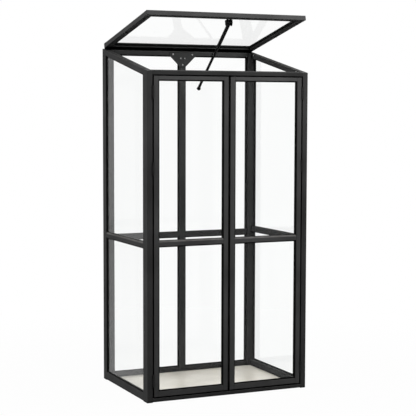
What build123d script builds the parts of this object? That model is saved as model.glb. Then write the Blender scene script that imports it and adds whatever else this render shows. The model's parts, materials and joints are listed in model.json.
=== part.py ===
from build123d import *
import os
from math import atan2, degrees, sqrt

os.makedirs("parts", exist_ok=True)

# Overall size, in millimetres
WIDTH = 760
DEPTH = 550
FRONT_HEIGHT = 1400
ROOF_RISE = 112
FOOT = 2

# Frame profiles
FRONT_POST_X = 25
FRONT_POST_Y = 48
REAR_POST = 42
CENTRE_POST = 30
RAIL = 25
SILL_H = 15.5
FRONT_RAIL_H = 16
SIDE_BASE_H = 34
REAR_BASE_H = 27
REAR_RAIL_H = 26
SLOPE_RAIL_H = 22.5
MID_H = 24
SIDE_MID_Z = 670
REAR_MID_Z = 657
REAR_INSET = 11
WALL = 2
CORNER_R = 3
EDGE_R = 1

# Glass, grooves and seals
PANE_T = 4
PANE_SET = 7.5
PANE_BITE = 6.5
GROOVE_W = 7
GROOVE_D = 9
SEAL_LIP = 5
FOOT_LIP = 1.5
SEAL_FIT = 0.1
BEAD_H = 7
BEAD_D = 3.2

# Doors
DOOR_GAP = 4.5
DOOR_TOP_GAP = 3.2
DOOR_FOOT_GAP = 6
MEETING_GAP = 6.5
STOP_GAP = 0.6
STILE = 23
DOOR_TOP_H = 18
DOOR_BOTTOM_H = 23
DOOR_MID_Z = 677

# Door hinges
KNUCKLE_R = 4.5
PIN_R = 2
PIN_FIT = 0.05
KNUCKLE_GAP = 0.4
NOTCH_FIT = 0.5
LEAF_T = 1.2
LEAF_W = 17
HINGE_H = 54
HINGE_KNUCKLES = 3
HINGE_FROM_TOP = (70, 389)
HINGE_FROM_BOTTOM = 70

# Roof lid and its hinges
LID_SIDE_INSET = 6
LID_FRONT_INSET = 10
LID_RAIL = 29.5
LID_T = 20
LID_TRAVEL = 24
LID_LIFT = 4
LID_KNUCKLE_R = 4
LID_LEAF_T = 1.6
LID_LEAF_W = 19
LID_HINGE_INSET = 3
LID_HINGE_KNUCKLES = 25

# Lid strut
STRUT_TOP_X = 17
STRUT_TOP_BACK = 40
STRUT_TOP_DROP = 15
STRUT_FOOT_X = 76
STRUT_FOOT_OUT = 14
STRUT_FOOT_DROP = 176
STRUT_TUBE_PART = 0.34
STRUT_TUBE_R = 8
STRUT_BORE_R = 6.4
STRUT_ROD_R = 5
STRUT_EYE_R = 8
STRUT_BALL_R = 9
STRUT_PIN_R = 3
STRUT_FIT = 0.05
STRUT_EYE_FIT = 0.5
STRUT_SIDE_GAP = 2.2
STRUT_BALL_FLAT = 4
BUSH_L = 12
BUSH_OUT = 0.8
PISTON_L = 8
PISTON_BACK = 3
PISTON_FIT = 0.4
ROD_SHORT = 3
PIN_HEAD_T = 2
PIN_HEAD_OUT = 2
STUD_R = 2
STUD_IN = 2
SOCKET_R = 4.7
SOCKET_D = 5
SOCKET_DROP = 2.3
ARM_W = 6
ARM_D = 12
ARM_TIP_D = 5
ARM_TIP_R = 5
ARM_LEAN = 77
ARM_FLAT_W = 12
ARM_FLAT_L = 16.5
ARM_SCREWS_UP = (5, 12.5)
BRACKET_T = 3
TAB_R = 9
BRACKET_FLANGE = 14
BRACKET_SCREW_IN = 6
BRACKET_SCREW_BACK = 9
BRACKET_SCREW_BITE = 4

# Small parts
SCREW_R = 2
SCREW_HEAD_R = 3.5
SCREW_HEAD_H = 1.8
KEY_L = 30
KEY_FIT = 0.15
KEY_SCREW_L = 10
PLUG_L = 22
STOP_T = 3
STOP_LAP = 14
LEDGE = 13
LEDGE_T = 2
FLOOR_T = 4
FLOOR_FIT = 1
GUSSET_W = 132
GUSSET_H = 64
GUSSET_T = 2
GUSSET_DROP = 5
GUSSET_EDGE = 14
GUSSET_SCREW_IN = 18
GUSSET_SCREW_DROP = 7
GUSSET_PAIR_IN = 5
GUSSET_PAIR_DROP = 26
GUSSET_LAST_UP = 9
MAGNET_R = 6
MAGNET_T = 2.4
MAGNET_X = 40
BUMPER_R = 5
BUMPER_GAP = 0.6
BUMPER_BACK = 25

# How far a cut or a blank runs past the frame
PAST = 100

# Derived planes
REAR_HEIGHT = FRONT_HEIGHT + ROOF_RISE
X_OUT = WIDTH / 2
X_IN = X_OUT - FRONT_POST_X
Y_FRONT = KNUCKLE_R - DEPTH / 2
Y_REAR = DEPTH / 2
SLOPE = ROOF_RISE / (Y_REAR - Y_FRONT)
SLOPE_DEG = degrees(atan2(ROOF_RISE, Y_REAR - Y_FRONT))
STRETCH = sqrt(1 + SLOPE ** 2)
SIDE_Y0 = Y_FRONT + FRONT_POST_Y
SIDE_Y1 = Y_REAR - REAR_POST
SIDE_PANE_X = PANE_SET - X_OUT
REAR_X = X_OUT - REAR_POST
REAR_Y1 = Y_REAR - REAR_INSET
REAR_Y0 = REAR_Y1 - RAIL
REAR_PANE_Y = (REAR_Y0 + REAR_Y1) / 2
REAR_RAIL_Z = REAR_HEIGHT - REAR_RAIL_H
SILL_TOP = FOOT + SILL_H
FRONT_RAIL_Z = FRONT_HEIGHT - FRONT_RAIL_H
RAIL_BACK = Y_FRONT + RAIL

nodes = {}


def roof_z(y):
    return FRONT_HEIGHT + (y - Y_FRONT) * SLOPE


def bar(x0, x1, y0, y1, z0, z1):
    return Pos((x0 + x1) / 2, (y0 + y1) / 2, (z0 + z1) / 2) * Box(x1 - x0, y1 - y0, z1 - z0)


def profile(blank):
    # A drawn bar: the long edges of its blank are rounded
    return fillet(blank.edges().group_by(SortBy.LENGTH)[-1], EDGE_R)


def outline(u0, u1, v0, v1, grow=0.0, slope=0.0):
    a = u0 - grow
    b = u1 + grow
    low = v0 - grow
    high = v1 + grow * sqrt(1 + slope ** 2)
    return [(a, low), (b, low), (b, high + slope * (b - u0)), (a, high + slope * (a - u0))]


def side_sheet(points, x, thick):
    return extrude(Plane.YZ.offset(x - thick / 2) * Polygon(*points, align=None), thick)


def rear_sheet(points, y, thick):
    plane = Plane(origin=(0, y + thick / 2, 0), x_dir=(1, 0, 0), z_dir=(0, -1, 0))
    return extrude(plane * Polygon(*points, align=None), thick)


def flat_sheet(points, z, thick):
    return extrude(Plane.XY.offset(z - thick / 2) * Polygon(*points, align=None), thick)


def glazing(sheet, opening, at, slope=0.0, foot_lip=SEAL_LIP):
    # One glazed opening: its groove, its pane and the seal around the pane
    groove = sheet(outline(*opening, GROOVE_D, slope), at, GROOVE_W)
    pane = sheet(outline(*opening, PANE_BITE, slope), at, PANE_T)
    seal = sheet(outline(*opening, GROOVE_D - SEAL_FIT, slope), at, GROOVE_W - 2 * SEAL_FIT)
    u0, u1, v0, v1 = opening
    clear = outline(u0, u1, v0 + foot_lip - SEAL_LIP, v1, -SEAL_LIP, slope)
    return groove, pane, seal - sheet(clear, at, 2 * GROOVE_W) - pane


def bead_slope(face, top):
    # Corners of the cut that slopes the upper edge of a mid rail, from its outer face back to its top
    low = (face - BEAD_D / 2, top - 1.5 * BEAD_H)
    back = (face + 1.5 * BEAD_D, top + BEAD_H / 2)
    return [low, back, (low[0], back[1])]


def mirrored(shape):
    return mirror(shape, about=Plane.YZ)


def group(shapes):
    solids = []
    for shape in shapes:
        solids.extend(shape.solids())
    return Compound(children=solids)


def tube_x(radius, x0, x1, y, z):
    return Pos((x0 + x1) / 2, y, z) * Rot(0, 90, 0) * Cylinder(radius, x1 - x0)


def tube_y(radius, x, y0, y1, z):
    return Pos(x, (y0 + y1) / 2, z) * Rot(90, 0, 0) * Cylinder(radius, y1 - y0)


def screw(at, outward, length):
    head = Pos(0, 0, SCREW_HEAD_H / 2) * Cylinder(SCREW_HEAD_R, SCREW_HEAD_H)
    head = fillet(head.edges().sort_by(Axis.Z)[-1], SCREW_HEAD_H / 2)
    shank = Pos(0, 0, -length / 2) * Cylinder(SCREW_R, length)
    return Plane(origin=at, z_dir=outward).location * (head + shank)


# Everything above the roof plane, taken off the posts and the top rails
ROOF_CUT = side_sheet(
    [
        (Y_FRONT - PAST, roof_z(Y_FRONT - PAST)),
        (Y_REAR + PAST, roof_z(Y_REAR + PAST)),
        (Y_REAR + PAST, REAR_HEIGHT + 3 * PAST),
        (Y_FRONT - PAST, REAR_HEIGHT + 3 * PAST),
    ],
    0,
    2 * WIDTH,
)

# Glazed openings of the left side and of the left half of the rear
SIDE_BASE_TOP = FOOT + SIDE_BASE_H
SLOPE_UNDER = roof_z(SIDE_Y0) - SLOPE_RAIL_H * STRETCH
REAR_BASE_TOP = FOOT + REAR_BASE_H
side_low = glazing(side_sheet, (SIDE_Y0, SIDE_Y1, SIDE_BASE_TOP, SIDE_MID_Z - MID_H / 2), SIDE_PANE_X)
SIDE_HIGH = (SIDE_Y0, SIDE_Y1, SIDE_MID_Z + MID_H / 2, SLOPE_UNDER)
side_high = glazing(side_sheet, SIDE_HIGH, SIDE_PANE_X, SLOPE, FOOT_LIP)
REAR_LOW = (-REAR_X, -CENTRE_POST / 2, REAR_BASE_TOP, REAR_MID_Z - MID_H / 2)
REAR_HIGH = (-REAR_X, -CENTRE_POST / 2, REAR_MID_Z + MID_H / 2, REAR_RAIL_Z)
rear_low = glazing(rear_sheet, REAR_LOW, REAR_PANE_Y)
rear_high = glazing(rear_sheet, REAR_HIGH, REAR_PANE_Y, 0.0, FOOT_LIP)
side_grooves = [side_low[0], side_high[0]]
rear_grooves = [rear_low[0], rear_high[0], mirrored(rear_low[0]), mirrored(rear_high[0])]

# Door hinge heights and the axis of the left door
DOOR_Z0 = SILL_TOP + DOOR_FOOT_GAP
DOOR_Z1 = FRONT_RAIL_Z - DOOR_TOP_GAP
HINGE_X = DOOR_GAP / 2 - X_IN
HINGE_Z = [DOOR_Z0 + HINGE_FROM_BOTTOM]
for drop in HINGE_FROM_TOP:
    HINGE_Z.append(DOOR_Z1 - drop)
notches = []
for z in HINGE_Z:
    notches.append(Pos(HINGE_X, Y_FRONT, z) * Cylinder(KNUCKLE_R + NOTCH_FIT, HINGE_H + 2 * NOTCH_FIT))


# Hinge axis of the roof lid, and the trough that the rear posts leave for it
LID_AXIS_BACK = LID_KNUCKLE_R + NOTCH_FIT
LID_X = X_OUT - LID_SIDE_INSET
LID_Y = REAR_Y1 + LID_AXIS_BACK
LID_Z = roof_z(LID_Y) + LID_LIFT / 2 * STRETCH
lid_trough = tube_x(LID_KNUCKLE_R + NOTCH_FIT, -LID_X, LID_X, LID_Y, LID_Z)


# Posts, with a foot and a top plug in each corner post
def rounded_bar(x0, x1, y0, y1, z0, z1, corner_y):
    # An upright bar, with the wider radius on its edge at x0, corner_y
    blank = bar(x0, x1, y0, y1, z0, z1)
    uprights = blank.edges().filter_by(Axis.Z).sort_by_distance((x0, corner_y, z0))
    blank = fillet(uprights[1:], EDGE_R)
    corner = blank.edges().filter_by(Axis.Z).sort_by_distance((x0, corner_y, z0))[0]
    return fillet(corner, CORNER_R)


def corner_post(x0, x1, y0, y1, corner_y, chamber, cuts):
    post = rounded_bar(x0, x1, y0, y1, FOOT, REAR_HEIGHT + PAST, corner_y) - ROOF_CUT
    post = post - bar(*chamber, 0, REAR_HEIGHT + PAST) - lid_trough
    for cut in cuts:
        post = post - cut
    core = (chamber[0] + KEY_FIT, chamber[1] - KEY_FIT, chamber[2] + KEY_FIT, chamber[3] - KEY_FIT)
    foot = rounded_bar(x0, x1, y0, y1, 0, FOOT, corner_y) + bar(*core, FOOT, FOOT + PLUG_L)
    top = bar(*core, roof_z(y0) - PLUG_L, REAR_HEIGHT + PAST) - ROOF_CUT - lid_trough
    return post, foot, top


FRONT_CHAMBER = (WALL - X_OUT, -X_IN - WALL, Y_FRONT + WALL, SIDE_Y0 - GROOVE_D - WALL)
REAR_CHAMBER = (WALL - X_OUT, -REAR_X - GROOVE_D - WALL, SIDE_Y1 + GROOVE_D + WALL, Y_REAR - WALL)
front_post, front_foot, front_top = corner_post(
    -X_OUT, -X_IN, Y_FRONT, SIDE_Y0, Y_FRONT, FRONT_CHAMBER, side_grooves + notches
)
rear_post, rear_foot, rear_top = corner_post(
    -X_OUT, -REAR_X, SIDE_Y1, Y_REAR, Y_REAR, REAR_CHAMBER, side_grooves + rear_grooves[:2]
)
nodes["front_left_post"] = front_post
nodes["front_right_post"] = mirrored(front_post)
nodes["rear_left_post"] = rear_post
nodes["rear_right_post"] = mirrored(rear_post)
feet = [front_foot, rear_foot]
plugs = [front_top, rear_top]
nodes["foot_plugs"] = group(feet + [mirrored(foot) for foot in feet])
nodes["post_top_plugs"] = group(plugs + [mirrored(plug) for plug in plugs])

# Side rails, each keyed to its posts by a block in either end
SIDE_CHAMBER_X = (WALL - X_OUT, -X_IN - WALL)
side_keys = []
side_screws = []


def side_key(y0, y1, z0, z1):
    x0, x1 = SIDE_CHAMBER_X
    return bar(x0 + KEY_FIT, x1 - KEY_FIT, y0, y1, z0 + KEY_FIT, z1 - KEY_FIT)


BASE_CHAMBER_TOP = SIDE_BASE_TOP - GROOVE_D - WALL
base_rail = profile(bar(-X_OUT, -X_IN, SIDE_Y0, SIDE_Y1, FOOT, SIDE_BASE_TOP)) - side_low[0]
base_rail = base_rail - bar(*SIDE_CHAMBER_X, SIDE_Y0, SIDE_Y1, FOOT + WALL, BASE_CHAMBER_TOP)
for y0, y1 in ((SIDE_Y0, SIDE_Y0 + KEY_L), (SIDE_Y1 - KEY_L, SIDE_Y1)):
    fixing = screw((-(X_OUT + X_IN) / 2, (y0 + y1) / 2, FOOT), (0, 0, -1), KEY_SCREW_L)
    side_screws.append(fixing)
    side_keys.append(side_key(y0, y1, FOOT + WALL, BASE_CHAMBER_TOP) - fixing)
    base_rail = base_rail - fixing
nodes["left_base_rail"] = base_rail
nodes["right_base_rail"] = mirrored(base_rail)

mid_rail = bar(-X_OUT, -X_IN, SIDE_Y0, SIDE_Y1, SIDE_MID_Z - MID_H / 2, SIDE_MID_Z + MID_H / 2)
mid_rail = profile(mid_rail) - side_low[0] - side_high[0]
mid_rail = mid_rail - rear_sheet(bead_slope(-X_OUT, SIDE_MID_Z + MID_H / 2), 0, 2 * DEPTH)
MID_CHAMBER = (SIDE_PANE_X + GROOVE_W / 2 + WALL, -X_IN - WALL)
MID_CHAMBER_Z = (SIDE_MID_Z - MID_H / 2 + WALL, SIDE_MID_Z + MID_H / 2 - WALL)
mid_rail = mid_rail - bar(*MID_CHAMBER, SIDE_Y0, SIDE_Y1, *MID_CHAMBER_Z)
for y0, y1 in ((SIDE_Y0, SIDE_Y0 + KEY_L), (SIDE_Y1 - KEY_L, SIDE_Y1)):
    core = (MID_CHAMBER[0] + KEY_FIT, MID_CHAMBER[1] - KEY_FIT, y0, y1)
    side_keys.append(bar(*core, MID_CHAMBER_Z[0] + KEY_FIT, MID_CHAMBER_Z[1] - KEY_FIT))
nodes["left_mid_rail"] = mid_rail
nodes["right_mid_rail"] = mirrored(mid_rail)


def slope_strip(y0, y1, top, bottom, x0, x1):
    points = [
        (y0, roof_z(y0) - bottom * STRETCH),
        (y1, roof_z(y1) - bottom * STRETCH),
        (y1, roof_z(y1) - top * STRETCH),
        (y0, roof_z(y0) - top * STRETCH),
    ]
    return side_sheet(points, (x0 + x1) / 2, x1 - x0)


SLOPE_CORE = SLOPE_RAIL_H - GROOVE_D - WALL
slope_rail = profile(slope_strip(SIDE_Y0, SIDE_Y1, 0, SLOPE_RAIL_H, -X_OUT, -X_IN)) - side_high[0]
slope_rail = slope_rail - slope_strip(SIDE_Y0, SIDE_Y1, WALL, SLOPE_CORE, *SIDE_CHAMBER_X)
for y0, y1 in ((SIDE_Y0, SIDE_Y0 + KEY_L), (SIDE_Y1 - KEY_L, SIDE_Y1)):
    y = (y0 + y1) / 2
    z = roof_z(y) - (WALL + SLOPE_CORE) / 2 * STRETCH
    fixing = screw((-X_IN, y, z), (1, 0, 0), KEY_SCREW_L)
    key_x = (SIDE_CHAMBER_X[0] + KEY_FIT, SIDE_CHAMBER_X[1] - KEY_FIT)
    side_screws.append(fixing)
    side_keys.append(slope_strip(y0, y1, WALL + KEY_FIT, SLOPE_CORE - KEY_FIT, *key_x) - fixing)
    slope_rail = slope_rail - fixing
nodes["left_slope_rail"] = slope_rail
nodes["right_slope_rail"] = mirrored(slope_rail)

nodes["side_panes"] = group([side_low[1], side_high[1], mirrored(side_low[1]), mirrored(side_high[1])])
side_seals = [side_low[2], side_high[2], mirrored(side_low[2]), mirrored(side_high[2])]


# Front and rear rails between the corner posts
def cross_rail(x1, y0, y1, z0, z1, chamber, under):
    rail = profile(bar(-x1, x1, y0, y1, z0, z1) - ROOF_CUT)
    rail = rail - bar(-x1, x1, *chamber)
    keys = []
    fixings = []
    for side in (-1, 1):
        near, far = sorted((side * (x1 - KEY_L), side * x1))
        core = [chamber[0] + KEY_FIT, chamber[1] - KEY_FIT, chamber[2] + KEY_FIT, chamber[3] - KEY_FIT]
        key = bar(near, far, *core)
        if under:
            fixing = screw(((near + far) / 2, (y0 + y1) / 2, z0), (0, 0, -1), KEY_SCREW_L)
            rail = rail - fixing
            key = key - fixing
            fixings.append(fixing)
        keys.append(key)
    return rail, keys, fixings


SILL_CHAMBER = (Y_FRONT + WALL, RAIL_BACK - WALL, FOOT + WALL, SILL_TOP - WALL)
sill, sill_keys, sill_screws = cross_rail(X_IN, Y_FRONT, RAIL_BACK, FOOT, SILL_TOP, SILL_CHAMBER, True)
HEAD_CHAMBER = (Y_FRONT + WALL, RAIL_BACK - WALL, FRONT_RAIL_Z + WALL, FRONT_HEIGHT - WALL)
head, head_keys, _ = cross_rail(
    X_IN, Y_FRONT, RAIL_BACK, FRONT_RAIL_Z, REAR_HEIGHT + PAST, HEAD_CHAMBER, False
)
REAR_SILL_CHAMBER = (REAR_Y0 + WALL, REAR_Y1 - WALL, FOOT + WALL, REAR_BASE_TOP - GROOVE_D - WALL)
rear_sill, rear_sill_keys, rear_sill_screws = cross_rail(
    REAR_X, REAR_Y0, REAR_Y1, FOOT, REAR_BASE_TOP, REAR_SILL_CHAMBER, True
)
REAR_HEAD_CORE = (REAR_RAIL_Z + GROOVE_D + WALL, roof_z(REAR_Y0) - WALL)
REAR_HEAD_CHAMBER = (REAR_Y0 + WALL, REAR_Y1 - WALL, *REAR_HEAD_CORE)
rear_head, rear_head_keys, _ = cross_rail(
    REAR_X, REAR_Y0, REAR_Y1, REAR_RAIL_Z, REAR_HEIGHT + PAST, REAR_HEAD_CHAMBER, False
)
centre_post = bar(-CENTRE_POST / 2, CENTRE_POST / 2, REAR_Y0, REAR_Y1, REAR_BASE_TOP, REAR_RAIL_Z)
centre_post = profile(centre_post)
rear_mid = bar(
    -REAR_X, -CENTRE_POST / 2, REAR_Y0, REAR_Y1, REAR_MID_Z - MID_H / 2, REAR_MID_Z + MID_H / 2
)
rear_mid = profile(rear_mid)
for groove in rear_grooves:
    rear_sill = rear_sill - groove
    rear_head = rear_head - groove
    centre_post = centre_post - groove
    rear_mid = rear_mid - groove
CENTRE_CORE = CENTRE_POST / 2 - GROOVE_D - WALL
centre_post = centre_post - bar(
    -CENTRE_CORE, CENTRE_CORE, REAR_Y0 + WALL, REAR_Y1 - WALL, REAR_BASE_TOP, REAR_RAIL_Z
)
nodes["front_sill"] = sill
nodes["rear_base_rail"] = rear_sill
nodes["rear_mid_rails"] = group([rear_mid, mirrored(rear_mid)])
nodes["rear_panes"] = group([rear_low[1], rear_high[1], mirrored(rear_low[1]), mirrored(rear_high[1])])
rear_seals = [rear_low[2], rear_high[2], mirrored(rear_low[2]), mirrored(rear_high[2])]
nodes["wall_seals"] = group(side_seals + rear_seals)
cross_keys = sill_keys + head_keys + rear_sill_keys + rear_head_keys
nodes["rail_keys"] = group(side_keys + [mirrored(key) for key in side_keys] + cross_keys)
rail_screws = side_screws + [mirrored(item) for item in side_screws] + sill_screws + rear_sill_screws

# Gusset plate over the joint of the centre post and the rear top rail
GUSSET_TOP = roof_z(REAR_Y0) - GUSSET_DROP
gusset = rear_sheet(
    [
        (-GUSSET_W / 2, GUSSET_TOP),
        (-GUSSET_W / 2, GUSSET_TOP - GUSSET_EDGE),
        (-CENTRE_POST / 2, GUSSET_TOP - GUSSET_H),
        (CENTRE_POST / 2, GUSSET_TOP - GUSSET_H),
        (GUSSET_W / 2, GUSSET_TOP - GUSSET_EDGE),
        (GUSSET_W / 2, GUSSET_TOP),
    ],
    REAR_Y0 - GUSSET_T / 2,
    GUSSET_T,
)
gusset_screws = []
gusset_spots = [(0, GUSSET_TOP - GUSSET_H + GUSSET_LAST_UP)]
for side in (-1, 1):
    gusset_spots.append((side * (GUSSET_W / 2 - GUSSET_SCREW_IN), GUSSET_TOP - GUSSET_SCREW_DROP))
    gusset_spots.append((side * (CENTRE_POST / 2 - GUSSET_PAIR_IN), GUSSET_TOP - GUSSET_PAIR_DROP))
for x, z in gusset_spots:
    fixing = screw((x, REAR_Y0 - GUSSET_T, z), (0, -1, 0), GUSSET_T + WALL)
    gusset_screws.append(fixing)
    gusset = gusset - fixing
    rear_head = rear_head - fixing
    centre_post = centre_post - fixing
nodes["top_gusset_plate"] = gusset

# Strips that the doors close against, and the floor panel on its ledges
head_stop = bar(-X_IN, X_IN, RAIL_BACK, RAIL_BACK + STOP_T, DOOR_Z1 - STOP_LAP, FRONT_HEIGHT - WALL)
magnets = []
for side in (-1, 1):
    magnet = tube_y(MAGNET_R, side * MAGNET_X, RAIL_BACK, RAIL_BACK + MAGNET_T, DOOR_Z1 - STOP_LAP / 2)
    magnets.append(magnet)
    head_stop = head_stop - magnet
nodes["front_top_rail"] = head
nodes["door_head_stop"] = head_stop
nodes["door_magnets"] = group(magnets)
LEDGE_TOP = FOOT + LEDGE_T
SILL_STOP_BACK = RAIL_BACK + STOP_T
nodes["sill_angle"] = bar(-X_IN, X_IN, RAIL_BACK, SILL_STOP_BACK, FOOT, DOOR_Z0 + STOP_LAP) + bar(
    -X_IN, X_IN, SILL_STOP_BACK, SILL_STOP_BACK + LEDGE, FOOT, LEDGE_TOP
)
nodes["rear_floor_ledge"] = bar(-REAR_X, REAR_X, REAR_Y0 - LEDGE, REAR_Y0, FOOT, LEDGE_TOP)
FLOOR_X = X_IN - FLOOR_FIT
FLOOR_Y = (SILL_STOP_BACK + FLOOR_FIT, REAR_Y0 - FLOOR_FIT)
floor = bar(-FLOOR_X, FLOOR_X, *FLOOR_Y, LEDGE_TOP, LEDGE_TOP + FLOOR_T)
for side in (-1, 1):
    near, far = sorted((side * (REAR_X - FLOOR_FIT), side * X_OUT))
    floor = floor - bar(near, far, SIDE_Y1 - FLOOR_FIT, Y_REAR, 0, PAST)
nodes["floor_panel"] = floor


# Hinge leaf with its knuckles, drawn about the pin on the local Z axis; the plate lies beside the Y axis
def leaf(spans, plate_x, plate_y, knuckle_r, height):
    x0, x1 = plate_x
    y0, y1 = plate_y
    body = bar(x0, x1, y0, y1, -height / 2, height / 2)
    for z0, z1 in spans:
        body = body + Pos(0, 0, (z0 + z1) / 2) * Cylinder(knuckle_r, z1 - z0)
        body = body + bar(x0, x1, 0, y0, z0, z1)
    return body - Cylinder(PIN_R + PIN_FIT, height + PAST)


def hinge(height, knuckles, knuckle_r, leaf_t, leaf_w, room):
    # Fixed leaf, swinging leaf and pin; room is the space between the two faces
    pitch = height / knuckles
    spans = []
    for i in range(knuckles):
        low = i * pitch - height / 2
        spans.append((low + KNUCKLE_GAP / 2, low + pitch - KNUCKLE_GAP / 2))
    reach = (knuckle_r + NOTCH_FIT, knuckle_r + NOTCH_FIT + leaf_w)
    fixed = leaf(spans[0::2], (-room / 2, leaf_t - room / 2), reach, knuckle_r, height)
    swing = leaf(spans[1::2], (room / 2 - leaf_t, room / 2), reach, knuckle_r, height)
    pin = Cylinder(PIN_R, height)
    return fixed, swing, pin


fixed_leaf, swing_leaf, door_pin = hinge(HINGE_H, HINGE_KNUCKLES, KNUCKLE_R, LEAF_T, LEAF_W, DOOR_GAP)
fixed_leaves = []
swing_leaves = []
door_pins = []
for z in HINGE_Z:
    spot = Pos(HINGE_X, Y_FRONT, z)
    fixed_leaves.append(spot * fixed_leaf)
    swing_leaves.append(spot * swing_leaf)
    door_pins.append(spot * door_pin)
nodes["door_hinge_post_leaves"] = group(fixed_leaves + [mirrored(item) for item in fixed_leaves])

# Left door, mirrored for the right door
DOOR_X0 = DOOR_GAP - X_IN
DOOR_X1 = -MEETING_GAP / 2
DOOR_BACK = RAIL_BACK - STOP_GAP
DOOR_PANE_Y = Y_FRONT + PANE_SET
DOOR_LOW = (DOOR_X0 + STILE, DOOR_X1 - STILE, DOOR_Z0 + DOOR_BOTTOM_H, DOOR_MID_Z - MID_H / 2)
DOOR_HIGH = (DOOR_X0 + STILE, DOOR_X1 - STILE, DOOR_MID_Z + MID_H / 2, DOOR_Z1 - DOOR_TOP_H)
door_low = glazing(rear_sheet, DOOR_LOW, DOOR_PANE_Y)
door_high = glazing(rear_sheet, DOOR_HIGH, DOOR_PANE_Y, 0.0, FOOT_LIP)
CORE_Y = (Y_FRONT + WALL, DOOR_BACK - WALL)
STILE_CORE = STILE - GROOVE_D - WALL
hinge_stile = profile(bar(DOOR_X0, DOOR_X0 + STILE, Y_FRONT, DOOR_BACK, DOOR_Z0, DOOR_Z1))
hinge_stile = hinge_stile - bar(
    DOOR_X0 + WALL, DOOR_X0 + STILE_CORE, *CORE_Y, DOOR_Z0 + WALL, DOOR_Z1 - WALL
)
meeting_stile = profile(bar(DOOR_X1 - STILE, DOOR_X1, Y_FRONT, DOOR_BACK, DOOR_Z0, DOOR_Z1))
meeting_stile = meeting_stile - bar(
    DOOR_X1 - STILE_CORE, DOOR_X1 - WALL, *CORE_Y, DOOR_Z0 + WALL, DOOR_Z1 - WALL
)
RUN = (DOOR_X0 + STILE, DOOR_X1 - STILE)
top_rail = profile(bar(*RUN, Y_FRONT, DOOR_BACK, DOOR_Z1 - DOOR_TOP_H, DOOR_Z1))
top_rail = top_rail - bar(*RUN, *CORE_Y, DOOR_Z1 - DOOR_TOP_H + GROOVE_D + WALL, DOOR_Z1 - WALL)
bottom_rail = profile(bar(*RUN, Y_FRONT, DOOR_BACK, DOOR_Z0, DOOR_Z0 + DOOR_BOTTOM_H))
bottom_rail = bottom_rail - bar(*RUN, *CORE_Y, DOOR_Z0 + WALL, DOOR_Z0 + DOOR_BOTTOM_H - GROOVE_D - WALL)
DOOR_MID_Z0 = DOOR_MID_Z - MID_H / 2
DOOR_MID_Z1 = DOOR_MID_Z + MID_H / 2
DOOR_MID_CORE_Y = (DOOR_PANE_Y + GROOVE_W / 2 + WALL, DOOR_BACK - WALL)
mid_bar = profile(bar(*RUN, Y_FRONT, DOOR_BACK, DOOR_MID_Z0, DOOR_MID_Z1))
mid_bar = mid_bar - bar(*RUN, *DOOR_MID_CORE_Y, DOOR_MID_Z0 + WALL, DOOR_MID_Z1 - WALL)
mid_bar = mid_bar - side_sheet(bead_slope(Y_FRONT, DOOR_MID_Z1), 0, 2 * WIDTH)
for notch in notches:
    hinge_stile = hinge_stile - notch
door_pieces = {
    "hinge_stile": hinge_stile - door_low[0] - door_high[0],
    "meeting_stile": meeting_stile - door_low[0] - door_high[0],
    "end_rails": group([top_rail - door_high[0], bottom_rail - door_low[0]]),
    "mid_bar": mid_bar - door_low[0] - door_high[0],
    "panes": group([door_low[1], door_high[1]]),
    "seals": group([door_low[2], door_high[2]]),
    "hinge_leaves": group(swing_leaves),
}
for name, piece in door_pieces.items():
    nodes["left_door_" + name] = piece
    nodes["right_door_" + name] = mirrored(piece)

# Roof lid, drawn flat about its hinge axis and then set at its open angle
LID_SHUT = Pos(0, LID_Y, LID_Z) * Rot(SLOPE_DEG, 0, 0)
LID_OPEN = Pos(0, LID_Y, LID_Z) * Rot(SLOPE_DEG - LID_TRAVEL, 0, 0)
LID_UNDER = LID_LIFT / 2
LID_TOP = LID_UNDER + LID_T
LID_MID = (LID_UNDER + LID_TOP) / 2
LID_BACK = -LID_AXIS_BACK
LID_REACH = (LID_Y - Y_FRONT - LID_FRONT_INSET) * STRETCH
LID_OPENING = (LID_RAIL - LID_X, LID_X - LID_RAIL, LID_RAIL - LID_REACH, LID_BACK - LID_RAIL)
lid_glass = glazing(flat_sheet, LID_OPENING, LID_MID)
LID_CORE = LID_RAIL - GROOVE_D - WALL
LID_CORE_Z = (LID_UNDER + WALL, LID_TOP - WALL)
LID_RUN = (LID_OPENING[2], LID_OPENING[3])
lid_front = profile(bar(-LID_X, LID_X, -LID_REACH, LID_OPENING[2], LID_UNDER, LID_TOP))
lid_front = lid_front - bar(WALL - LID_X, LID_X - WALL, WALL - LID_REACH, LID_CORE - LID_REACH, *LID_CORE_Z)
lid_rear = profile(bar(-LID_X, LID_X, LID_OPENING[3], LID_BACK, LID_UNDER, LID_TOP))
lid_rear = lid_rear - bar(WALL - LID_X, LID_X - WALL, LID_BACK - LID_CORE, LID_BACK - WALL, *LID_CORE_Z)
lid_side = profile(bar(-LID_X, LID_RAIL - LID_X, *LID_RUN, LID_UNDER, LID_TOP))
lid_side = lid_side - bar(WALL - LID_X, LID_CORE - LID_X, *LID_RUN, *LID_CORE_Z) - lid_glass[0]

# Lid hinge: one long hinge along X, its leaves lying in the space between lid and rear rail
LID_HINGE_L = 2 * (LID_X - LID_HINGE_INSET)
lid_fixed, lid_swing, lid_pin = hinge(
    LID_HINGE_L, LID_HINGE_KNUCKLES, LID_KNUCKLE_R, LID_LEAF_T, LID_LEAF_W, LID_LIFT
)
TURN = Rot(0, 90, 0) * Rot(0, 0, 180)
nodes["lid_hinge_frame_leaf"] = LID_SHUT * TURN * lid_fixed
nodes["lid_hinge_leaf"] = LID_OPEN * TURN * lid_swing
nodes["hinge_pins"] = group(door_pins + [mirrored(item) for item in door_pins] + [LID_SHUT * TURN * lid_pin])

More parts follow.
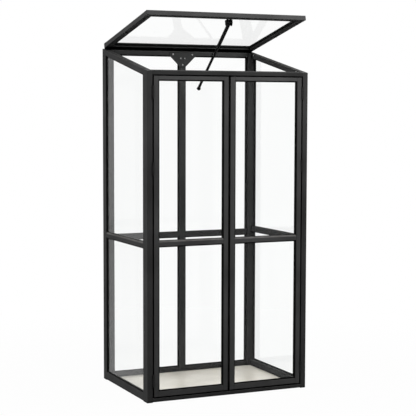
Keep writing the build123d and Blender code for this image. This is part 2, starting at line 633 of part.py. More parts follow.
# Strut bracket under the lid's front rail
EYE_Y = STRUT_TOP_BACK - LID_REACH
EYE_Z = -STRUT_TOP_DROP
TAB_IN = STRUT_EYE_R + STRUT_SIDE_GAP
TAB_OUT = TAB_IN + BRACKET_T
PLATE_T = LID_UNDER
PLATE_X = (STRUT_TOP_X - TAB_OUT, STRUT_TOP_X + TAB_OUT)
PLATE_Y = (LID_OPENING[2] - BRACKET_FLANGE, EYE_Y + TAB_R)
lid_bracket = bar(*PLATE_X, *PLATE_Y, LID_UNDER - PLATE_T, LID_UNDER)
for side in (-1, 1):
    tab_x = sorted((STRUT_TOP_X + side * TAB_IN, STRUT_TOP_X + side * TAB_OUT))
    tab = bar(*tab_x, EYE_Y - TAB_R, EYE_Y + TAB_R, EYE_Z, LID_UNDER)
    lid_bracket = lid_bracket + tab + tube_x(TAB_R, *tab_x, EYE_Y, EYE_Z)
TAB_FRONT = EYE_Y - TAB_R
lid_bracket = lid_bracket + bar(*PLATE_X, TAB_FRONT - BRACKET_T, TAB_FRONT, EYE_Z, LID_UNDER)
lid_bracket = lid_bracket - tube_x(STRUT_PIN_R, *PLATE_X, EYE_Y, EYE_Z)
lid_bracket_screws = []
for x in (PLATE_X[0] + BRACKET_SCREW_IN, PLATE_X[1] - BRACKET_SCREW_IN):
    spot = (x, LID_OPENING[2] - BRACKET_SCREW_BACK, LID_UNDER - PLATE_T)
    fixing = screw(spot, (0, 0, -1), PLATE_T + BRACKET_SCREW_BITE)
    lid_bracket_screws.append(fixing)
    lid_bracket = lid_bracket - fixing
    lid_front = lid_front - fixing
strut_pin = tube_x(STRUT_PIN_R, *PLATE_X, EYE_Y, EYE_Z)
for head_x in (PLATE_X[0] - PIN_HEAD_T, PLATE_X[1]):
    strut_pin = strut_pin + tube_x(STRUT_PIN_R + PIN_HEAD_OUT, head_x, head_x + PIN_HEAD_T, EYE_Y, EYE_Z)

nodes["lid_front_rail"] = LID_OPEN * (lid_front - lid_glass[0])
nodes["lid_rear_rail"] = LID_OPEN * (lid_rear - lid_glass[0])
nodes["lid_side_rails"] = group([LID_OPEN * lid_side, LID_OPEN * mirrored(lid_side)])
nodes["lid_pane"] = LID_OPEN * lid_glass[1]
nodes["lid_seal"] = LID_OPEN * lid_glass[2]
nodes["lid_strut_bracket"] = LID_OPEN * lid_bracket
nodes["lid_strut_pin"] = LID_OPEN * strut_pin
nodes["lid_bracket_screws"] = group([LID_OPEN * item for item in lid_bracket_screws])

# Bumpers under the lid, just over the slope rails when it is shut
bumpers = []
BUMPER_X = (X_IN + LID_X) / 2
BUMPER_H = LID_LIFT - BUMPER_GAP
for y in (SIDE_Y0 + BUMPER_BACK, (SIDE_Y0 + SIDE_Y1) / 2):
    for side in (-1, 1):
        bumper = Pos(0, 0, LID_UNDER - BUMPER_H / 2) * Cylinder(BUMPER_R, BUMPER_H)
        bumpers.append(LID_OPEN * Pos(side * BUMPER_X, (y - LID_Y) * STRETCH, 0) * bumper)
nodes["lid_bumpers"] = group(bumpers)

# Strut: a tube pivoted on the lid, a rod sliding in it, and the bracket that holds its foot
eye = (LID_OPEN * Pos(STRUT_TOP_X, EYE_Y, EYE_Z)).position
ball = Vector(STRUT_FOOT_X, REAR_Y0 - STRUT_FOOT_OUT, REAR_HEIGHT - STRUT_FOOT_DROP)
STRUT_L = (ball - eye).length
STRUT_AT = Plane(origin=eye, x_dir=(1, 0, 0), z_dir=(ball - eye).normalized()).location
TUBE_L = STRUT_L * STRUT_TUBE_PART


def strut_bar(radius, z0, z1):
    return Pos(0, 0, (z0 + z1) / 2) * Cylinder(radius, z1 - z0)


tube = Sphere(STRUT_EYE_R) + strut_bar(STRUT_TUBE_R, 0, TUBE_L)
tube = tube + strut_bar(STRUT_TUBE_R + BUSH_OUT, TUBE_L - BUSH_L, TUBE_L)
tube = tube - strut_bar(STRUT_BORE_R, 2 * STRUT_EYE_R, TUBE_L - BUSH_L)
tube = tube - strut_bar(STRUT_ROD_R + STRUT_FIT, TUBE_L - BUSH_L, TUBE_L)
pin_room = tube_x(STRUT_PIN_R + STRUT_EYE_FIT, eye.X - 2 * STRUT_EYE_R, eye.X + 2 * STRUT_EYE_R, eye.Y, eye.Z)
nodes["strut_tube"] = STRUT_AT * tube - pin_room
PISTON_END = TUBE_L - BUSH_L - PISTON_BACK
rod = strut_bar(STRUT_ROD_R, PISTON_END - PISTON_L, STRUT_L - ROD_SHORT)
rod = rod + strut_bar(STRUT_BORE_R - PISTON_FIT, PISTON_END - PISTON_L, PISTON_END)
nodes["strut_rod"] = STRUT_AT * rod
FLAT_Y = ball.Y + STRUT_BALL_FLAT
rod_end = Pos(*ball) * Sphere(STRUT_BALL_R) - STRUT_AT * rod
rod_end = rod_end - tube_y(2 * STRUT_BALL_R, ball.X, FLAT_Y, FLAT_Y + PAST, ball.Z)
rod_end = rod_end - tube_y(SOCKET_R, ball.X, FLAT_Y - SOCKET_D, FLAT_Y, ball.Z - SOCKET_DROP)
nodes["strut_rod_end"] = rod_end

# Arm that hangs from the rear top rail and carries the stud of the strut; drawn along its own length
ARM_RISE = REAR_RAIL_Z - ball.Z
ARM_L = sqrt(ARM_LEAN ** 2 + ARM_RISE ** 2)
ARM_END = ARM_L + ARM_FLAT_L
ARM_AT = Plane(origin=(ball.X, 0, ball.Z), x_dir=(ARM_LEAN, 0, ARM_RISE), z_dir=(-ARM_RISE, 0, ARM_LEAN))


def arm_piece(points, width):
    return extrude(ARM_AT.offset(-width / 2) * Polygon(*points, align=None), width)


ARM_BACK = [(ARM_L, REAR_Y0), (0, REAR_Y0)]
ARM_FLAT = [(ARM_END, REAR_Y0 - BRACKET_T), (ARM_END, REAR_Y0)]
anchor = arm_piece([(0, REAR_Y0 - ARM_TIP_D), (ARM_L, REAR_Y0 - ARM_D)] + ARM_BACK, ARM_W)
anchor = anchor + arm_piece([ARM_BACK[0], (ARM_L, REAR_Y0 - BRACKET_T)] + ARM_FLAT, ARM_FLAT_W)
anchor = anchor + tube_y(ARM_TIP_R, ball.X, REAR_Y0 - ARM_TIP_D, REAR_Y0, ball.Z)
anchor = anchor + tube_y(STUD_R, ball.X, FLAT_Y - STUD_IN, REAR_Y0, ball.Z)
anchor_screws = []
for up in ARM_SCREWS_UP:
    x = ball.X + ARM_LEAN * (1 + up / ARM_L)
    z = ball.Z + ARM_RISE * (1 + up / ARM_L)
    fixing = screw((x, REAR_Y0 - BRACKET_T, z), (0, -1, 0), BRACKET_T + WALL)
    anchor_screws.append(fixing)
    anchor = anchor - fixing
    rear_head = rear_head - fixing
nodes["strut_anchor_arm"] = anchor
nodes["frame_screws"] = group(rail_screws + gusset_screws + anchor_screws)
nodes["rear_top_rail"] = rear_head
nodes["rear_centre_post"] = centre_post

for name, shape in nodes.items():
    export_step(shape, f"parts/{name}.step")
print(len(nodes), "parts")
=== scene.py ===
import json
import math

import bmesh
import bpy
from mathutils import Matrix, Vector


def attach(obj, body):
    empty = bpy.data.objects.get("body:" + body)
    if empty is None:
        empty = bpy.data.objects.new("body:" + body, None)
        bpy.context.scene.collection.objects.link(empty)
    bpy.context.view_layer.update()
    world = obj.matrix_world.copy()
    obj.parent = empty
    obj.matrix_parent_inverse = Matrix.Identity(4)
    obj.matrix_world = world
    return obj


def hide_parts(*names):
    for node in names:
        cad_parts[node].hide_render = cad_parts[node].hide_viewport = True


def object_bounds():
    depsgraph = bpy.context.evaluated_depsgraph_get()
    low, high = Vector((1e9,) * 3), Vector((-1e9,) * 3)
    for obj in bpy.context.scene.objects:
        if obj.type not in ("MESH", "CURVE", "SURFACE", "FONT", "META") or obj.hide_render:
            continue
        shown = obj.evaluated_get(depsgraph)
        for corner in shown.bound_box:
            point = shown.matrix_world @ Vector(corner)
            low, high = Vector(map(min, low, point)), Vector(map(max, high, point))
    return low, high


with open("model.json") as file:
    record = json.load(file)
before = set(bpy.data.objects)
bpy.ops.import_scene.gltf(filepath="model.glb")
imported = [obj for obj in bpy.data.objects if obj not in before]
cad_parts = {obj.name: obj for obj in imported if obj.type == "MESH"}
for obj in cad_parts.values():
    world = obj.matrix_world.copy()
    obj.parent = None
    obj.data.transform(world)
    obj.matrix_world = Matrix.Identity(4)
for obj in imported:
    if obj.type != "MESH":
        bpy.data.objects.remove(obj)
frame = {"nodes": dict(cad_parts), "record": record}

cad_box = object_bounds()
nodes = frame["nodes"]

# The photograph's camera, with its focal length in pixels of a square picture
PICTURE = 416
FOCAL = 1252.7
SENSOR = 36.0
CAMERA_AT = Vector((-2.3058, -5.1212, 1.2467))
CAMERA_YAW = math.radians(24.447)
CAMERA_PITCH = math.radians(-4.574)
CAMERA_ROLL = math.radians(0.139)

# Studio: a softbox is its place, its width and height, its power in watts
SOFTBOXES = {
    "left_softbox": ((-4.0, 0.3, 2.2), (2.4, 2.4), 235),
    "front_softbox": ((0.6, -1.45, 2.8), (2.0, 0.8), 112),
    "top_softbox": ((0.0, 0.0, 4.6), (3.0, 3.0), 60),
    "rear_softbox": ((2.7, 3.1, 2.6), (2.4, 2.4), 130),
}
AMBIENT = 0.11

# What mirrors see of the room, from the side that the doors face to the rear
DOOR_SIDE_ROOM = 0.16
REAR_SIDE_ROOM = 0.7
ROOM_TURN = (-0.4, 0.6)

# Floor: half its side, its tone, how white it looks near the object, and where it turns all white
FLOOR_HALF = 8.0
FLOOR_TONE = 0.32
FLOOR_CLEAR = 0.97
FLOOR_FADE = (0.6, 2.2)
FLOOR_MIRRORED = 0.5

# Tones of painted gap shade, painted shadow lines on the door rims, dust with a painted sky sheen, wear and
# stains, and the gloss of matt paint
GAP_SHADE_BLACK = 0.001
RIM_SHADOW_BLACK = 0.002
DUST_SHEEN_GREY = 0.16
RUBBED_STEEL = 0.09
STAIN_GREY = 0.3
MATT_GLOSS = 0.05

# Width of the painted shadow lines on the rims of the doors, in metres
RIM_SHADOW_W = 0.002

# Screw, in metres, with the cross that a driver turns
HEAD_R = 0.0035
HEAD_H = 0.0018
SHANK_R = 0.002
SHANK_L = 0.004
CROSS_W = 0.0011
CROSS_L = 0.0040
CROSS_DEEP = 0.0011
WELD = 1e-6

# Its head in shares of radius and height, its sides, its creases and its turn from screw to screw
HEAD_FOOT = 0.97
HEAD_BAND = 0.25
DOME_RINGS = (0.95, 0.82, 0.62, 0.42, 0.22)
HEAD_SIDES = 32
CREASE = math.radians(32)
TURN_STEP = 2.4


# Shader trees
def add(tree, kind, **settings):
    made = tree.nodes.new(kind)
    for name, value in settings.items():
        setattr(made, name, value)
    return made


def feed(tree, socket, value):
    # A socket takes a link from another socket, or a plain value
    if isinstance(value, bpy.types.NodeSocket):
        tree.links.new(value, socket)
    else:
        socket.default_value = value


def reckon(tree, operation, *values):
    made = add(tree, "ShaderNodeMath", operation=operation)
    for socket, value in zip(made.inputs, values):
        feed(tree, socket, value)
    return made.outputs[0]


def spread(tree, value, low, high, out_low=0.0, out_high=1.0):
    # Maps low..high to out_low..out_high with soft ends
    made = add(tree, "ShaderNodeMapRange", interpolation_type="SMOOTHSTEP")
    for socket, number in zip(made.inputs, (value, low, high, out_low, out_high)):
        feed(tree, socket, number)
    return made.outputs[0]


def tint(tree, share, first, second):
    made = add(tree, "ShaderNodeMix", data_type="RGBA")
    feed(tree, made.inputs[0], share)
    feed(tree, made.inputs[6], first)
    feed(tree, made.inputs[7], second)
    return made.outputs[2]


def noise(tree, place, scale, detail=2.0, roughness=0.5):
    made = add(tree, "ShaderNodeTexNoise")
    feed(tree, made.inputs["Vector"], place)
    feed(tree, made.inputs["Scale"], scale)
    made.inputs["Detail"].default_value = detail
    made.inputs["Roughness"].default_value = roughness
    return made.outputs[0]


def stretched(tree, place, factors):
    made = add(tree, "ShaderNodeVectorMath", operation="MULTIPLY")
    feed(tree, made.inputs[0], place)
    made.inputs[1].default_value = factors
    return made.outputs[0]


def own_place(tree):
    return add(tree, "ShaderNodeTexCoord").outputs["Object"]


def own_facing(tree):
    # X, Y and Z of the way that a surface faces, kept when its piece swings
    made = add(tree, "ShaderNodeSeparateXYZ")
    feed(tree, made.inputs[0], add(tree, "ShaderNodeTexCoord").outputs["Normal"])
    return made.outputs


def effect(name, inputs, outputs):
    # An empty node group with its named sockets
    tree = bpy.data.node_groups.new(name, "ShaderNodeTree")
    for label, value in inputs.items():
        socket = tree.interface.new_socket(label, in_out="INPUT", socket_type="NodeSocketFloat")
        socket.default_value = value
    for label in outputs:
        tree.interface.new_socket(label, in_out="OUTPUT", socket_type="NodeSocketFloat")
    return tree, add(tree, "NodeGroupInput").outputs, add(tree, "NodeGroupOutput").inputs


def place_effect(tree, group, **values):
    made = add(tree, "ShaderNodeGroup", node_tree=group)
    for label, value in values.items():
        made.inputs[label.replace("_", " ")].default_value = value
    return made.outputs


# Effects that several finishes share
def make_coat_skin():
    # The skin of a sprayed or baked coat: fine peel, sparkle and slow drift of tone
    scales = {"Peel scale": 900.0, "Sparkle scale": 2600.0, "Drift scale": 6.0}
    tree, given, out = effect("coat_skin", scales, ("Peel", "Sparkle", "Drift"))
    place = own_place(tree)
    feed(tree, out["Peel"], noise(tree, place, given["Peel scale"], 2.0))
    sparkle = noise(tree, place, given["Sparkle scale"], 1.0)
    feed(tree, out["Sparkle"], spread(tree, sparkle, 0.58, 0.78))
    drift = noise(tree, place, given["Drift scale"], 3.0)
    feed(tree, out["Drift"], spread(tree, drift, 0.3, 0.7))
    return tree


def make_edge_rub():
    # A mask of the edges where hands and cloths rub, broken up along their length
    tree, given, out = effect("edge_rub", {"Width": 0.0015, "Break scale": 60.0, "Amount": 1.0}, ("Mask",))
    rounded = add(tree, "ShaderNodeBevel", samples=4)
    feed(tree, rounded.inputs["Radius"], given["Width"])
    facing = add(tree, "ShaderNodeVectorMath", operation="DOT_PRODUCT")
    feed(tree, facing.inputs[0], rounded.outputs[0])
    feed(tree, facing.inputs[1], add(tree, "ShaderNodeNewGeometry").outputs["Normal"])
    edge = spread(tree, reckon(tree, "SUBTRACT", 1.0, facing.outputs["Value"]), 0.02, 0.22)
    broken = spread(tree, noise(tree, own_place(tree), given["Break scale"], 4.0), 0.35, 0.65)
    feed(tree, out["Mask"], reckon(tree, "MULTIPLY", reckon(tree, "MULTIPLY", edge, broken), given["Amount"]))
    return tree


def make_dust_and_sky_sheen():
    # Pale dust on what faces up, thicker in patches, and a painted highlight: faces sloping upward lighten
    # most, as if lit by the sky, flat tops little
    tree, given, out = effect("dust_and_sky_sheen", {"Amount": 0.5, "Patch scale": 25.0}, ("Mask",))
    rise = own_facing(tree)["Z"]
    level = reckon(tree, "MULTIPLY", spread(tree, rise, 0.2, 0.4), spread(tree, rise, 0.5, 0.9, 1.0, 0.1))
    place = own_place(tree)
    patches = spread(tree, noise(tree, place, given["Patch scale"], 5.0, 0.6), 0.3, 0.75, 0.35, 1.0)
    dust_and_sheen = reckon(tree, "MULTIPLY", reckon(tree, "MULTIPLY", level, patches), given["Amount"])
    feed(tree, out["Mask"], dust_and_sheen)
    return tree


def make_gap_shade():
    # A mask of narrow gaps and inner corners, from ambient occlusion, where painted shade goes near black
    tree, given, out = effect("painted_gap_shade", {"Reach": 0.006}, ("Mask",))
    sky = add(tree, "ShaderNodeAmbientOcclusion", samples=6)
    feed(tree, sky.inputs["Distance"], given["Reach"])
    feed(tree, out["Mask"], spread(tree, sky.outputs["AO"], 0.55, 0.97, 1.0, 0.0))
    return tree


def make_drawn_lines():
    # Fine lines along X, left by drawing or turning, and the stains between them
    tree, given, out = effect("drawn_lines", {"Fineness": 1.0}, ("Along X", "Stain"))
    place = own_place(tree)
    lines = noise(tree, stretched(tree, place, (40.0, 2600.0, 2600.0)), given["Fineness"], 2.0)
    feed(tree, out["Along X"], spread(tree, lines, 0.3, 0.7))
    feed(tree, out["Stain"], spread(tree, noise(tree, place, 180.0, 4.0), 0.45, 0.75))
    return tree


def make_wiped_film():
    # What a cloth leaves on glass: tall soft streaks and a few fine specks
    tree, given, out = effect("wiped_film", {"Streak scale": 9.0, "Speck scale": 420.0}, ("Streak", "Speck"))
    place = own_place(tree)
    tall = stretched(tree, place, (1.0, 1.0, 0.18))
    feed(tree, out["Streak"], spread(tree, noise(tree, tall, given["Streak scale"], 4.0, 0.55), 0.42, 0.75))
    feed(tree, out["Speck"], spread(tree, noise(tree, place, given["Speck scale"], 1.0), 0.74, 0.82))
    return tree


COAT_SKIN = make_coat_skin()
EDGE_RUB = make_edge_rub()
DUST_AND_SKY_SHEEN = make_dust_and_sky_sheen()
GAP_SHADE = make_gap_shade()
DRAWN_LINES = make_drawn_lines()
WIPED_FILM = make_wiped_film()


# Finishes
def new_finish(name):
    finish = bpy.data.materials.new(name)
    finish.use_nodes = True
    tree = finish.node_tree
    return finish, tree, tree.nodes["Principled BSDF"]


def raise_skin(tree, shader, height, distance):
    bump = add(tree, "ShaderNodeBump")
    bump.inputs["Distance"].default_value = distance
    feed(tree, bump.inputs["Height"], height)
    feed(tree, shader.inputs["Normal"], bump.outputs[0])


def grey(level, warm=0.0):
    return (level * (1 + warm), level, level * (1 - warm), 1.0)


def ends(node, axis):
    # The lowest and highest place of a node along x, y or z
    places = [getattr(point.co, axis) for point in nodes[node].data.vertices]
    return min(places), max(places)


def rim_shadow_lines(tree, colour):
    # Painted shadow: black lines where the doors meet the posts, each other and the top rail, alike on both
    # doors, standing in for the shade in the gaps
    place = add(tree, "ShaderNodeSeparateXYZ")
    feed(tree, place.inputs[0], own_place(tree))
    from_middle = reckon(tree, "ABSOLUTE", place.outputs["X"])
    hinge_rim_shadow = reckon(tree, "GREATER_THAN", from_middle, ends("right_door_hinge_stile", "x")[1] - RIM_SHADOW_W)
    meeting_rim_shadow = reckon(tree, "LESS_THAN", from_middle, ends("right_door_meeting_stile", "x")[0] + RIM_SHADOW_W)
    top_rim_shadow = reckon(tree, "GREATER_THAN", place.outputs["Z"], ends("right_door_end_rails", "z")[1] - RIM_SHADOW_W)
    rim_shadows = reckon(tree, "MAXIMUM", reckon(tree, "MAXIMUM", hinge_rim_shadow, meeting_rim_shadow), top_rim_shadow)
    return tint(tree, rim_shadows, colour, grey(RIM_SHADOW_BLACK))


def powder_coat(name, level, shine, dust_and_sheen, shaded_door=False):
    # Baked matt charcoal powder over aluminium; on doors, painted shade darkens the narrow sides and painted
    # shadow lines blacken the rims
    finish, tree, shader = new_finish(name)
    skin = place_effect(tree, COAT_SKIN, Peel_scale=820.0, Sparkle_scale=2400.0, Drift_scale=5.0)
    rub = place_effect(tree, EDGE_RUB, Width=0.0016, Break_scale=45.0, Amount=0.55)
    # Dust, with a painted sky sheen on what slopes upward
    dust_sheen = place_effect(tree, DUST_AND_SKY_SHEEN, Amount=dust_and_sheen, Patch_scale=22.0)
    colour = tint(tree, skin["Drift"], grey(level * 0.82), grey(level * 1.18))
    colour = tint(tree, reckon(tree, "MULTIPLY", skin["Sparkle"], 0.16), colour, grey(level * 4.0))
    colour = tint(tree, reckon(tree, "MULTIPLY", rub["Mask"], 0.35), colour, grey(level * 4.5))
    colour = tint(tree, dust_sheen["Mask"], colour, grey(DUST_SHEEN_GREY, 0.04))
    # Painted shade on the doors' narrow sides, then painted shadow lines on their rims
    if shaded_door:
        shaded_sides = spread(tree, reckon(tree, "ABSOLUTE", own_facing(tree)["X"]), 0.15, 0.5)
        colour = rim_shadow_lines(tree, tint(tree, shaded_sides, colour, grey(level * 0.1)))
    # Painted shade: near black in narrow gaps and inner corners
    gap_shading = place_effect(tree, GAP_SHADE, Reach=0.010)
    feed(tree, shader.inputs["Base Color"], tint(tree, gap_shading["Mask"], colour, grey(GAP_SHADE_BLACK)))
    rough = reckon(tree, "MULTIPLY_ADD", skin["Drift"], 0.10, shine - 0.05)
    rough = reckon(tree, "MULTIPLY_ADD", rub["Mask"], -0.10, rough)
    feed(tree, shader.inputs["Roughness"], reckon(tree, "MULTIPLY_ADD", dust_sheen["Mask"], 0.30, rough))
    shader.inputs["Specular IOR Level"].default_value = MATT_GLOSS
    raise_skin(tree, shader, skin["Peel"], 0.00006)
    return finish


def black_enamel(name, level, shine):
    # Sprayed black enamel on steel, polished thin on its edges
    finish, tree, shader = new_finish(name)
    skin = place_effect(tree, COAT_SKIN, Peel_scale=520.0, Sparkle_scale=3000.0, Drift_scale=18.0)
    rub = place_effect(tree, EDGE_RUB, Width=0.0009, Break_scale=140.0, Amount=0.8)
    colour = tint(tree, skin["Drift"], grey(level * 0.8), grey(level * 1.25))
    colour = tint(tree, rub["Mask"], colour, grey(RUBBED_STEEL, 0.02))
    # Painted shade: near black in narrow gaps and inner corners
    gap_shading = place_effect(tree, GAP_SHADE, Reach=0.004)
    feed(tree, shader.inputs["Base Color"], tint(tree, gap_shading["Mask"], colour, grey(GAP_SHADE_BLACK)))
    rough = reckon(tree, "MULTIPLY_ADD", skin["Drift"], 0.08, shine)
    feed(tree, shader.inputs["Roughness"], reckon(tree, "MULTIPLY_ADD", rub["Mask"], 0.12, rough))
    shader.inputs["Specular IOR Level"].default_value = MATT_GLOSS
    raise_skin(tree, shader, skin["Peel"], 0.00003)
    return finish


def zinc_steel(name, level):
    # Bright plated steel with turning lines and grey stains
    finish, tree, shader = new_finish(name)
    lines = place_effect(tree, DRAWN_LINES, Fineness=1.0)
    colour = tint(tree, lines["Along X"], grey(level * 0.86), grey(level))
    stained = reckon(tree, "MULTIPLY", lines["Stain"], 0.4)
    feed(tree, shader.inputs["Base Color"], tint(tree, stained, colour, grey(STAIN_GREY)))
    feed(tree, shader.inputs["Roughness"], reckon(tree, "MULTIPLY_ADD", lines["Stain"], 0.22, 0.24))
    shader.inputs["Metallic"].default_value = 1.0
    raise_skin(tree, shader, lines["Along X"], 0.00002)
    return finish


def soft_rubber(name, level):
    # Extruded black gasket with a fine grain and a dry bloom
    finish, tree, shader = new_finish(name)
    skin = place_effect(tree, COAT_SKIN, Peel_scale=1500.0, Sparkle_scale=3200.0, Drift_scale=30.0)
    colour = tint(tree, skin["Drift"], grey(level * 0.7), grey(level * 1.5))
    feed(tree, shader.inputs["Base Color"], colour)
    feed(tree, shader.inputs["Roughness"], reckon(tree, "MULTIPLY_ADD", skin["Drift"], 0.12, 0.62))
    shader.inputs["Specular IOR Level"].default_value = 0.06
    raise_skin(tree, shader, skin["Peel"], 0.00004)
    return finish


def moulded_plastic(name, level):
    # Injection-moulded black plastic with a spark-eroded grain
    finish, tree, shader = new_finish(name)
    skin = place_effect(tree, COAT_SKIN, Peel_scale=1900.0, Sparkle_scale=2800.0, Drift_scale=40.0)
    rub = place_effect(tree, EDGE_RUB, Width=0.0012, Break_scale=90.0, Amount=0.7)
    colour = tint(tree, skin["Drift"], grey(level * 0.85), grey(level * 1.2))
    feed(tree, shader.inputs["Base Color"], tint(tree, rub["Mask"], colour, grey(level * 3)))
    feed(tree, shader.inputs["Roughness"], reckon(tree, "MULTIPLY_ADD", skin["Peel"], 0.2, 0.42))
    shader.inputs["Specular IOR Level"].default_value = 0.3
    raise_skin(tree, shader, skin["Peel"], 0.00008)
    return finish


def pale_sheet(name):
    # Pale grey coated sheet, mottled and dusty
    finish, tree, shader = new_finish(name)
    skin = place_effect(tree, COAT_SKIN, Peel_scale=700.0, Sparkle_scale=1500.0, Drift_scale=11.0)
    # Dust, with a painted sky sheen where the sheet slopes upward
    dust_sheen = place_effect(tree, DUST_AND_SKY_SHEEN, Amount=0.5, Patch_scale=16.0)
    colour = tint(tree, skin["Drift"], (0.49, 0.46, 0.41, 1.0), (0.57, 0.535, 0.485, 1.0))
    colour = tint(tree, reckon(tree, "MULTIPLY", skin["Sparkle"], 0.35), colour, (0.37, 0.345, 0.30, 1.0))
    feed(tree, shader.inputs["Base Color"], tint(tree, dust_sheen["Mask"], colour, (0.53, 0.49, 0.42, 1.0)))
    feed(tree, shader.inputs["Roughness"], reckon(tree, "MULTIPLY_ADD", dust_sheen["Mask"], 0.35, 0.34))
    shader.inputs["Specular IOR Level"].default_value = 0.4
    raise_skin(tree, shader, skin["Peel"], 0.00005)
    return finish


def clear_glass(name, clear, mirror):
    # Float glass, wiped clean; lamps shine through it to what it shuts in
    finish, tree, shader = new_finish(name)
    film = place_effect(tree, WIPED_FILM, Streak_scale=7.0, Speck_scale=430.0)
    marks = reckon(tree, "MAXIMUM", reckon(tree, "MULTIPLY", film["Streak"], 0.25), film["Speck"])
    wiped = (clear * 0.995, clear, clear * 0.998, 1.0)
    smeared = (clear * 0.965, clear * 0.970, clear * 0.968, 1.0)
    feed(tree, shader.inputs["Base Color"], tint(tree, marks, wiped, smeared))
    feed(tree, shader.inputs["Roughness"], reckon(tree, "MULTIPLY", marks, 0.03))
    shader.inputs["Transmission Weight"].default_value = 1.0
    shader.inputs["IOR"].default_value = mirror
    through = add(tree, "ShaderNodeBsdfTransparent")
    through.inputs["Color"].default_value = (0.95, 0.96, 0.955, 1.0)
    choose = add(tree, "ShaderNodeMixShader")
    feed(tree, choose.inputs[0], add(tree, "ShaderNodeLightPath").outputs["Is Shadow Ray"])
    feed(tree, choose.inputs[1], shader.outputs[0])
    feed(tree, choose.inputs[2], through.outputs[0])
    feed(tree, tree.nodes["Material Output"].inputs["Surface"], choose.outputs[0])
    return finish


FRAME_COAT = powder_coat("frame_coat", 0.024, 0.80, 0.45)
DOOR_COAT = powder_coat("door_coat", 0.037, 0.78, 0.45, shaded_door=True)
LID_COAT = powder_coat("lid_coat", 0.030, 0.80, 0.30)
# A darker copy of the frame coat with less painted sheen: painted shade on the front top rail, under the lid
SHADED_TOP_RAIL_COAT = powder_coat("shaded_top_rail_coat", 0.018, 0.80, 0.15)
HINGE_ENAMEL = black_enamel("hinge_enamel", 0.004, 0.66)
KNUCKLE_ENAMEL = black_enamel("knuckle_enamel", 0.013, 0.66)
BRACKET_ENAMEL = black_enamel("bracket_enamel", 0.008, 0.66)
TUBE_ENAMEL = black_enamel("tube_enamel", 0.006, 0.62)
ROD_ENAMEL = black_enamel("rod_enamel", 0.004, 0.62)
SCREW_ZINC = zinc_steel("screw_zinc", 0.72)
MAGNET_NICKEL = zinc_steel("magnet_nickel", 0.62)
GASKET = soft_rubber("gasket_rubber", 0.004)
PLUG_PLASTIC = moulded_plastic("plug_plastic", 0.010)
FLOOR_SHEET = pale_sheet("floor_sheet_coat")
PANE_GLASS = clear_glass("pane_glass", 0.99, 1.2)
LID_GLASS = clear_glass("lid_glass", 0.98, 1.06)

BODY_COATS = {"frame": FRAME_COAT, "left_door": DOOR_COAT, "right_door": DOOR_COAT, "lid": LID_COAT}
SLOT_FINISHES = {
    "hinge_metal": HINGE_ENAMEL,
    "strut_metal": BRACKET_ENAMEL,
    "glass": PANE_GLASS,
    "seal_rubber": GASKET,
    "plug_plastic": PLUG_PLASTIC,
    "screw_steel": SCREW_ZINC,
    "magnet": MAGNET_NICKEL,
    "floor_sheet": FLOOR_SHEET,
}
NODE_FINISHES = {
    "front_top_rail": SHADED_TOP_RAIL_COAT,
    "strut_tube": TUBE_ENAMEL,
    "strut_rod": ROD_ENAMEL,
    "strut_rod_end": ROD_ENAMEL,
    "lid_pane": LID_GLASS,
    "door_hinge_post_leaves": KNUCKLE_ENAMEL,
    "left_door_hinge_leaves": KNUCKLE_ENAMEL,
    "right_door_hinge_leaves": KNUCKLE_ENAMEL,
}


def dress_nodes():
    # A node's own finish comes first, then its slot's, then its body's coat
    for body, members in frame["record"]["behaviour"]["bodies"].items():
        for name in members:
            piece = nodes[name]
            slot = piece.material_slots[0].material.name
            if name in NODE_FINISHES:
                finish = NODE_FINISHES[name]
            elif slot in SLOT_FINISHES:
                finish = SLOT_FINISHES[slot]
            else:
                finish = BODY_COATS[body]
            for material_slot in piece.material_slots:
                material_slot.material = finish


# Screws with a domed head and a driver cross, set where the plain ones are
def turned_solid(outline, steps):
    # A closed solid of revolution about Z from (radius, height) points, first and last on the axis
    work = bmesh.new()
    rings = []
    for radius, height in outline[1:-1]:
        ring = []
        for i in range(steps):
            a = 2 * math.pi * i / steps
            ring.append(work.verts.new((radius * math.cos(a), radius * math.sin(a), height)))
        rings.append(ring)
    low = work.verts.new((0, 0, outline[0][1]))
    high = work.verts.new((0, 0, outline[-1][1]))
    for i in range(steps):
        j = (i + 1) % steps
        work.faces.new((low, rings[0][j], rings[0][i]))
        work.faces.new((high, rings[-1][i], rings[-1][j]))
        for under, over in zip(rings, rings[1:]):
            work.faces.new((under[i], under[j], over[j], over[i]))
    return work


def linked_object(name, work):
    mesh = bpy.data.meshes.new(name)
    work.to_mesh(mesh)
    work.free()
    made = bpy.data.objects.new(name, mesh)
    bpy.context.scene.collection.objects.link(made)
    return made


def cross_screw():
    # The mesh of one screw, its seat at Z = 0 and its head above
    band = HEAD_H * HEAD_BAND
    outline = [(0, -SHANK_L), (SHANK_R, -SHANK_L), (SHANK_R, 0), (HEAD_R * HEAD_FOOT, 0), (HEAD_R, band)]
    for share in DOME_RINGS:
        outline.append((HEAD_R * share, band + (HEAD_H - band) * math.sqrt(1 - share ** 2)))
    outline.append((0, HEAD_H))
    whole = linked_object("screw_blank", turned_solid(outline, HEAD_SIDES))
    bits = bmesh.new()
    for turn in (0.0, math.pi / 2):
        spot = Matrix.Translation((0, 0, HEAD_H)) @ Matrix.Rotation(turn, 4, "Z")
        size = Matrix.Diagonal((CROSS_L, CROSS_W, 2 * CROSS_DEEP, 1.0))
        bmesh.ops.create_cube(bits, size=1.0, matrix=spot @ size)
    driver = linked_object("driver_bit", bits)
    cut = whole.modifiers.new("cross", "BOOLEAN")
    cut.operation = "DIFFERENCE"
    cut.object = driver
    cut.use_self = True
    mesh = bpy.data.meshes.new_from_object(whole.evaluated_get(bpy.context.evaluated_depsgraph_get()))
    for made in (whole, driver):
        bpy.data.objects.remove(made)
    return mesh


